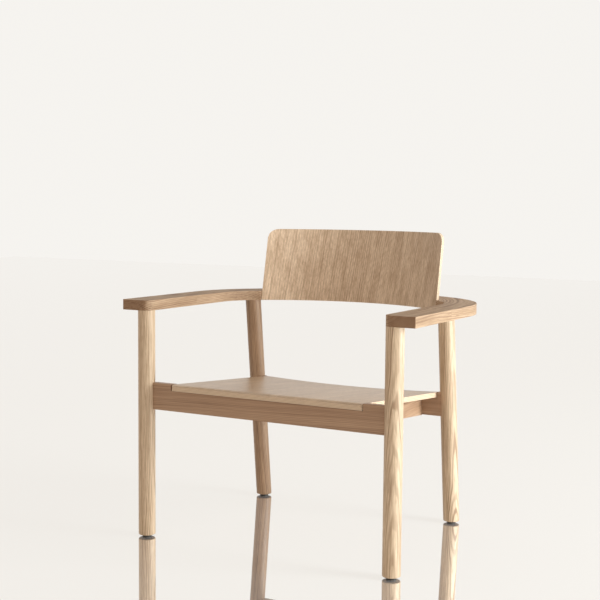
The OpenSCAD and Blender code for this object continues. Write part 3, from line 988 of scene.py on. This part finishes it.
@dataclass
class Seat:
    """The plywood seat: dished towards the back and curled down along its front edge."""

    thickness: float = 0.012
    slope: float = math.radians(4.8)
    curl_radius: float = 0.036
    curl_angle: float = math.radians(27.6)
    curl_rows: int = 12
    lead: float = 0.0087
    reach: float = 0.4435
    flat_rows: int = 40
    dish: float = 0.0064
    dish_start: float = 0.020
    front_corner: float = 0.014
    back_corner: float = 0.005
    back_corner_rows: int = 5
    columns: int = 97
    side_fit: float = 0.0004
    front_fit: float = 0.00045
    corner_fit: float = 0.0003
    ease: float = 0.0006
    seed: float = 8.6

    def __post_init__(self) -> None:
        """Takes the seat's place from its CAD node."""
        self.low, self.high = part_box("seat")

    def stations(self) -> list[tuple[float, float]]:
        """Sets out the rows from front to back.

        Returns:
            Distance behind the front legs and angle of curl of each row.
        """
        start = self.curl_radius * math.sin(self.curl_angle) - self.lead
        rows = [(start, self.curl_angle * (1 - k / self.curl_rows)) for k in range(self.curl_rows)]
        corner_start = self.reach - self.back_corner
        for k in range(self.flat_rows + 1):
            rows.append((start + (corner_start - start) * k / self.flat_rows, 0.0))
        for k in range(1, self.back_corner_rows + 1):
            turn = math.pi / 2 * k / self.back_corner_rows
            rows.append((corner_start + self.back_corner * math.sin(turn), 0.0))
        return rows

    def half_width(self, s: float) -> float:
        """Half the seat's width, less in its rounded corners.

        Args:
            s: Distance behind the front legs.

        Returns:
            Half the width there.
        """
        front = max(0.0, self.front_corner - (s + self.lead + self.corner_fit))
        back = max(0.0, s - (self.reach - self.back_corner))
        width = self.high.x + self.side_fit
        for past, corner in ((front, self.front_corner), (back, self.back_corner)):
            width -= corner - math.sqrt(max(0.0, corner**2 - past**2))
        return width

    def point(self, i: int, station: tuple[float, float], drop: float) -> Vector:
        """A point of either face.

        Args:
            i: Column, from the sitter's right to left.
            station: The row's distance and angle of curl.
            drop: Distance below the top face.

        Returns:
            The place of the point.
        """
        start, turn = station
        radius = self.curl_radius - drop
        s = start - radius * math.sin(turn)
        up = -drop - radius * (1 - math.cos(turn))
        x = self.half_width(s) * (2 * i / (self.columns - 1) - 1)
        run = (s - self.dish_start) / (self.reach - self.dish_start)
        up -= max(0.0, self.dish * (1 - (x / self.high.x) ** 2) * run)
        front_y = self.low.y + self.lead * math.cos(self.slope) + self.front_fit
        crest = self.curl_radius * math.sin(self.curl_angle) - self.lead
        top_z = self.high.z + crest * math.sin(self.slope)
        y = front_y + s * math.cos(self.slope) + up * math.sin(self.slope)
        return Vector((x, y, top_z - s * math.sin(self.slope) + up * math.cos(self.slope)))

    def mesh(self) -> bpy.types.Mesh:
        """Both faces and the rim, whose UV map holds its length and depth.

        Returns:
            The closed mesh, with the faces in slot 0 and the rim in slot 1.
        """
        work = bmesh.new()
        uv = work.loops.layers.uv.new("edge")
        rows = self.stations()
        show, under = (
            [[work.verts.new(self.point(i, row, drop)) for i in range(self.columns)] for row in rows]
            for drop in (0.0, self.thickness)
        )
        last_i, last_j = self.columns - 1, len(rows) - 1
        for j in range(last_j):
            for i in range(last_i):
                work.faces.new((show[j][i], show[j][i + 1], show[j + 1][i + 1], show[j + 1][i]))
                work.faces.new((under[j + 1][i], under[j + 1][i + 1], under[j][i + 1], under[j][i]))
        border = [(i, 0) for i in range(last_i)] + [(last_i, j) for j in range(last_j)]
        border += [(i, last_j) for i in range(last_i, 0, -1)] + [(0, j) for j in range(last_j, 0, -1)]
        travelled = 0.0
        for (i, j), (m, n) in zip(border, border[1:] + border[:1]):
            step = (show[n][m].co - show[j][i].co).length
            rim = work.faces.new((show[j][i], under[j][i], under[n][m], show[n][m]))
            rim.material_index = 1
            lengths = (travelled, travelled, travelled + step, travelled + step)
            depths = (0.0, self.thickness, self.thickness, 0.0)
            for loop, corner in zip(rim.loops, zip(lengths, depths)):
                loop[uv].uv = corner
            travelled += step
        mesh = bpy.data.meshes.new("seat_moulded")
        work.to_mesh(mesh)
        work.free()
        return recalculated(mesh)

    def build(self) -> None:
        """Builds and dresses the seat."""
        panel = new_object("seat_moulded", self.mesh())
        panel.data.materials.append(SEAT_VENEER.dress("seat_veneer", Grain.ALONG_Y, self.seed))
        panel.data.materials.append(PLY_EDGE.dress("seat_edge"))
        ease_edges(panel, self.ease)
        finish_piece(panel, "seat_plywood", "seat")


# ---- Turned fittings, set out by Geometry Nodes ------------------------------------------------


@dataclass(frozen=True)
class Turning:
    """One kind of turned fitting.

    A fitting without a head of its own has one as wide as its shank.
    """

    node: str
    slot: str
    finish: PlainFinish | OakFinish
    radius: float
    chamfer: float = 0.0006
    head_radius: float = 0.0
    head_length: float = 0.0
    seed: float = 0.4

    def material(self) -> bpy.types.Material:
        """Makes the fitting's material.

        Returns:
            The material.
        """
        name = f"{self.node}_finish"
        if isinstance(self.finish, OakFinish):
            return self.finish.dress(name, Grain.ALONG_Y, self.seed)
        return self.finish.dress(name)

    def sizes(self) -> dict[str, float]:
        """Sizes of the fitting, apart from its length."""
        return {
            "Radius": self.radius,
            "Chamfer": self.chamfer,
            "Head radius": self.head_radius or self.radius,
            "Head length": self.head_length or 2 * self.chamfer,
        }

    def places(self, node: bpy.types.Object) -> tuple[list[Vector], list[Vector], float]:
        """Finds the fittings in the loose parts of a CAD node.

        Args:
            node: The CAD node's object.

        Returns:
            Where each shank starts, the way it points, and the length of a shank.
        """
        head = self.head_length or 2 * self.chamfer
        starts, ways = [], []
        length = 0.0
        for points in loose_parts(node.data):
            middle = points.mean(axis=0)
            spread = points - middle
            way = self.axis(spread)
            along = spread @ way
            off = np.linalg.norm(spread - np.outer(along, way), axis=1)
            far = off[along > along.max() - END_REACH].max()
            near = off[along < along.min() + END_REACH].max()
            if far > near:
                way = -way
                along = -along
            length = along.max() - along.min() - head
            starts.append(Vector(middle + way * (along.min() + head)))
            ways.append(Vector(way))
        return starts, ways, length

    def axis(self, spread: np.ndarray) -> np.ndarray:
        """Axis of a round part: the odd one out of the three main directions of its points.

        Args:
            spread: The part's points, from their middle.

        Returns:
            The axis, of length 1.
        """
        strengths, directions = np.linalg.eigh(spread.T @ spread)
        odd = 2 if strengths[2] - strengths[1] > strengths[1] - strengths[0] else 0
        return directions[:, odd]


def loose_parts(mesh: bpy.types.Mesh) -> list[np.ndarray]:
    """The points of each separate part of a mesh.

    Args:
        mesh: A mesh of one or more closed parts.

    Returns:
        One array of points for each part.
    """
    work = bmesh.new()
    work.from_mesh(mesh)
    bmesh.ops.remove_doubles(work, verts=work.verts, dist=WELD)
    unseen = set(work.verts)
    parts = []
    while unseen:
        waiting = [unseen.pop()]
        part = []
        while waiting:
            vert = waiting.pop()
            part.append(tuple(vert.co))
            near = {edge.other_vert(vert) for edge in vert.link_edges} & unseen
            unseen -= near
            waiting.extend(near)
        parts.append(np.array(sorted(part)))
    work.free()
    return sorted(parts, key=lambda part: tuple(part[0]))


class TurningRule(Rule):
    """Sets one turned fitting at every point of a mesh, along the point's own direction."""

    sizes: tuple[str, ...] = ("Radius", "Length", "Chamfer", "Head radius", "Head length")
    step: float = 0.00001
    sides: int = 32
    crease: float = math.radians(30)

    def __init__(self) -> None:
        """Builds the tree: an outline on the axis, given its radii and turned, set at each point."""
        super().__init__("turned_fittings", self.sizes, ("Material",))
        g = self.g
        radius, length, chamfer, head_radius, head_length = (self.given[size] for size in self.sizes)
        far_end = g.math("MULTIPLY", head_length, -1.0)
        heights = [
            far_end,
            g.math("ADD", far_end, chamfer),
            -self.step,
            0.0,
            g.math("SUBTRACT", length, chamfer),
            length,
        ]
        radii = [
            g.math("SUBTRACT", head_radius, chamfer),
            head_radius,
            head_radius,
            radius,
            radius,
            g.math("SUBTRACT", radius, chamfer),
        ]
        line = g.add("GeometryNodeMeshLine", {"Count": len(heights)}).outputs[0]
        curve = g.add("GeometryNodeMeshToCurve", {"Mesh": line}).outputs[0]
        place = g.add("ShaderNodeCombineXYZ", {2: self.by_number(heights)}).outputs[0]
        axis = g.add("GeometryNodeSetPosition", {"Geometry": curve, "Position": place}).outputs[0]
        circle = {"Resolution": self.sides, "Radius": 1.0}
        ring = g.add("GeometryNodeCurvePrimitiveCircle", circle).outputs[0]
        widths = self.by_number(radii)
        outline = {"Curve": axis, "Profile Curve": ring, "Scale": widths, "Fill Caps": True}
        turned = g.add("GeometryNodeCurveToMesh", outline).outputs[0]
        named = {"Name": "aim"}
        aim = g.add("GeometryNodeInputNamedAttribute", named, data_type="FLOAT_VECTOR").outputs[0]
        turn = g.add("FunctionNodeAlignRotationToVector", {"Vector": aim}, axis="Z").outputs[0]
        setting = {"Points": self.given["Geometry"], "Instance": turned, "Rotation": turn}
        placed = g.add("GeometryNodeInstanceOnPoints", setting).outputs[0]
        self.end(placed, (True, self.given["Material"]))

    def by_number(self, values: list[object]) -> Socket:
        """Gives each point of the outline its own value.

        Args:
            values: The values or sockets, by the point's number.

        Returns:
            The value's socket.
        """
        node = self.g.add("GeometryNodeIndexSwitch", data_type="FLOAT")
        for _ in range(len(values) - 2):
            node.index_switch_items.new()
        number = self.g.add("GeometryNodeInputIndex").outputs[0]
        for socket, value in zip(node.inputs, [number, *values]):
            self.g.feed(socket, value)
        return node.outputs[0]

    def make(self, kind: Turning, node: bpy.types.Object) -> bpy.types.Object:
        """Makes one mesh with all the fittings of a kind.

        Args:
            kind: The fitting.
            node: The CAD node that shows where they go.

        Returns:
            The new object, a plain mesh.
        """
        starts, ways, length = kind.places(node)
        points = bpy.data.meshes.new(f"{kind.node}_points")
        points.from_pydata(starts, [], [])
        aim = points.attributes.new("aim", "FLOAT_VECTOR", "POINT")
        for item, way in zip(aim.data, ways):
            item.vector = way
        values = {**kind.sizes(), "Length": length, "Material": kind.material()}
        made = self.run(f"{kind.node}_turned", points, values)
        made.data.shade_smooth()
        made.data.set_sharp_from_angle(angle=self.crease)
        return made


@dataclass
class Fittings:
    """Glides, nails, screws, plugs and dowels, and the threaded inserts that stay as packed."""

    nodes: dict[str, bpy.types.Object]
    dowels: tuple[str, ...] = (
        "front_rail_dowels",
        "rear_rail_dowels",
        "side_rail_front_dowels",
        "side_rail_rear_dowels",
        "arm_joint_dowels",
    )
    inserts: tuple[str, ...] = ("seat_inserts", "backrest_inserts")

    def kinds(self) -> list[Turning]:
        """Lists the turned fittings.

        Returns:
            Every kind.
        """
        screw = Turning("", "zinc_steel", ZINC, radius=0.003, head_radius=0.005, head_length=0.006)
        nail = Turning("glide_nails", "zinc_steel", ZINC, radius=0.0012, chamfer=0.0003)
        nail = replace(nail, head_radius=0.003, head_length=0.001)
        kinds = [
            Turning("foot_glides", "glide_plastic", GLIDE_PLASTIC, radius=0.011, chamfer=0.0008),
            Turning("screw_plugs", "plug_oak", RAIL_OAK, radius=0.0055, chamfer=0.0003),
            nail,
            replace(screw, node="seat_screws"),
            replace(screw, node="backrest_screws"),
        ]
        return kinds + [Turning(node, "dowel_beech", BEECH, radius=0.005) for node in self.dowels]

    def build(self) -> None:
        """Makes every turned fitting, and dresses the inserts."""
        rule = TurningRule()
        for kind in self.kinds():
            finish_piece(rule.make(kind, self.nodes[kind.node]), kind.slot, kind.node)
        material = ZINC.dress("insert_zinc")
        for node in self.inserts:
            slots = self.nodes[node].data.materials
            slots.clear()
            slots.append(material)
            LOG.info("%s: dressed as packed", node)


# ---- Studio ------------------------------------------------------------------------------------


@dataclass
class Studio:
    """A pale polished floor under a pale sky, a soft light on the sitter's left, and the camera."""

    floor_colour: Colour = (0.98, 0.965, 0.945)
    floor_half: float = 9.0
    floor_metallic: float = 0.82
    floor_roughness: float = 0.02
    behind: Colour = (0.92, 0.90, 0.865)
    in_front: Colour = (0.86, 0.75, 0.64)
    above: Colour = (0.42, 0.41, 0.40)
    front_to_back: Pair = (-0.7, 0.4)
    level_to_above: Pair = (0.35, 0.95)
    key_height: float = math.radians(13)
    key_behind: float = math.radians(6)
    key_away: float = 3.6
    lit_middle: Vector = Vector((0.0, 0.0, 0.4))
    window_width: float = 1.2
    window_height: float = 2.2
    window_power: float = 158.0
    window_colour: Colour = (0.87, 0.95, 0.98)
    eye: Vector = Vector((1.3073, -2.5392, 0.8123))
    aim: Vector = Vector((0.0907, -0.2800, 0.5843))
    roll: float = math.radians(0.51)
    lens: float = 70.97
    sensor: float = 36.0
    clip_end: float = 60.0

    def floor(self) -> None:
        """A flat pale floor, polished enough to mirror the feet."""
        half = self.floor_half
        corners = [(-half, -half, 0), (half, -half, 0), (half, half, 0), (-half, half, 0)]
        mesh = bpy.data.meshes.new("studio_floor")
        mesh.from_pydata(corners, [], [(0, 1, 2, 3)])
        material = bpy.data.materials.new("studio_floor")
        material.use_nodes = True
        shader = material.node_tree.nodes["Principled BSDF"]
        shader.inputs["Base Color"].default_value = rgba(self.floor_colour)
        shader.inputs["Metallic"].default_value = self.floor_metallic
        shader.inputs["Roughness"].default_value = self.floor_roughness
        mesh.materials.append(material)
        new_object("studio_floor", mesh)

    def window(self) -> None:
        """A tall soft light like a window, on the sitter's left and a little behind."""
        level = Vector((math.cos(self.key_behind), math.sin(self.key_behind), 0.0))
        way = math.cos(self.key_height) * level + math.sin(self.key_height) * Vector((0, 0, 1))
        light = bpy.data.lights.new("window", "AREA")
        light.shape = "RECTANGLE"
        light.size = self.window_width
        light.size_y = self.window_height
        light.energy = self.window_power
        light.color = self.window_colour
        made = bpy.data.objects.new("window", light)
        made.location = self.lit_middle + self.key_away * way
        made.rotation_euler = (-way).to_track_quat("-Z", "Y").to_euler()
        bpy.context.scene.collection.objects.link(made)

    def sky(self) -> None:
        """A pale sky, brightest behind the chair and dimmest overhead."""
        world = bpy.data.worlds.new("studio")
        world.use_nodes = True
        g = Graph(world.node_tree)
        look = g.add("ShaderNodeTexCoord").outputs["Generated"]
        _, y, z = g.add("ShaderNodeSeparateXYZ", {0: look}).outputs
        facing = g.window(y, *self.front_to_back)
        around = g.blend(facing, rgba(self.in_front), rgba(self.behind))
        sky = g.blend(g.window(z, *self.level_to_above), around, rgba(self.above))
        g.feed(world.node_tree.nodes["Background"].inputs["Color"], sky)
        bpy.context.scene.world = world
        bpy.context.scene.view_settings.view_transform = "Standard"

    def camera(self) -> None:
        """Sets the camera, with its slight roll."""
        data = bpy.data.cameras.new("camera")
        data.sensor_width = self.sensor
        data.lens = self.lens
        data.clip_end = self.clip_end
        made = bpy.data.objects.new("camera", data)
        ahead = (self.aim - self.eye).normalized()
        right = ahead.cross(Vector((0, 0, 1))).normalized()
        up = right.cross(ahead)
        rolled = math.cos(self.roll) * right + math.sin(self.roll) * up
        upright = math.cos(self.roll) * up - math.sin(self.roll) * right
        turn = Matrix((rolled, upright, -ahead)).transposed()
        made.matrix_world = Matrix.Translation(self.eye) @ turn.to_4x4()
        bpy.context.scene.collection.objects.link(made)
        bpy.context.scene.camera = made

    def build(self) -> None:
        """Builds the floor, the light, the sky and the camera."""
        self.floor()
        self.window()
        self.sky()
        self.camera()


def main() -> None:
    logging.basicConfig(level=logging.INFO, format="%(name)s: %(message)s")
    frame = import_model()
    nodes = frame["nodes"]
    for part in (Legs(), Board(nodes), RailFrame(nodes), Seat(), Backrest(), Fittings(nodes), Studio()):
        part.build()


if __name__ == "__main__":
    main()
